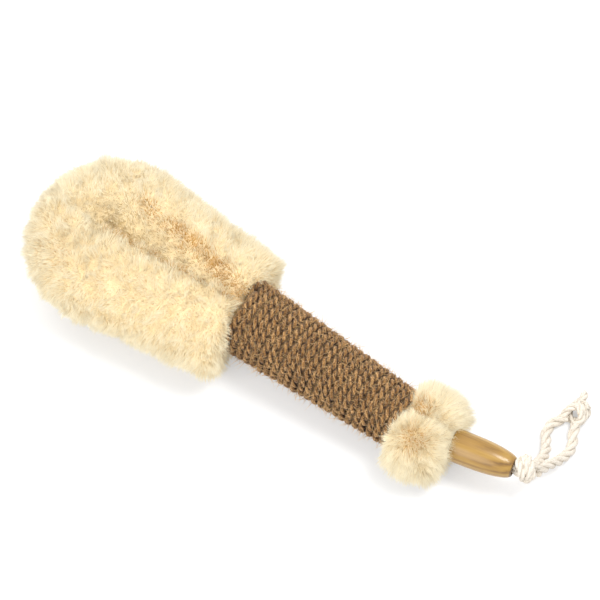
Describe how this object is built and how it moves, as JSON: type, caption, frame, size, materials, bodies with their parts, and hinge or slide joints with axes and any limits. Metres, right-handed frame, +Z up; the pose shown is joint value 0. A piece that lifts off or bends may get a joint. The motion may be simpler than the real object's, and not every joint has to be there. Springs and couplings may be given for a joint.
{
  "type": "body dry brush",
  "caption": "Body dry brush: a hairpin of twisted-in-wire natural bristle with a rope-wound grip, a bristle collar, a wooden end bead and a knotted hanging cord.",
  "frame": {"origin": "centre of the bounding box's underside without the cord, on the surface that the brush lies on", "axes": "+X from the head to the end bead, +Z up"},
  "size_m": [0.3374, 0.1292, 0.0585],
  "materials": {
    "bristle": "matte natural fibre",
    "rope": "matte twisted plant-fibre rope",
    "wire": "drawn",
    "bead": "lacquered",
    "cord": "matte cotton"
  },
  "bodies": {
    "brush": {"core_wire": "wire", "near_arm_bristles": "bristle", "far_arm_bristles": "bristle", "near_front_bristles": "bristle", "far_front_bristles": "bristle", "grip_fibre_near": "bristle", "grip_fibre_far": "bristle", "rope_winding": "rope", "near_collar_bristles": "bristle", "far_collar_bristles": "bristle", "cord_bight": "cord", "bead_knot": "cord", "loop_leg_near": "cord", "loop_leg_far": "cord", "end_knot": "cord", "cord_tail": "cord"},
    "bead": {"end_bead": "bead"}
  },
  "joints": [
    {"name": "bead_spin", "type": "hinge", "parent": "brush", "child": "bead", "pos_m": [0.12138, -0.00296, 0.0215], "axis": [0.9882, 0.153, 0], "continuous": true}
  ]
}
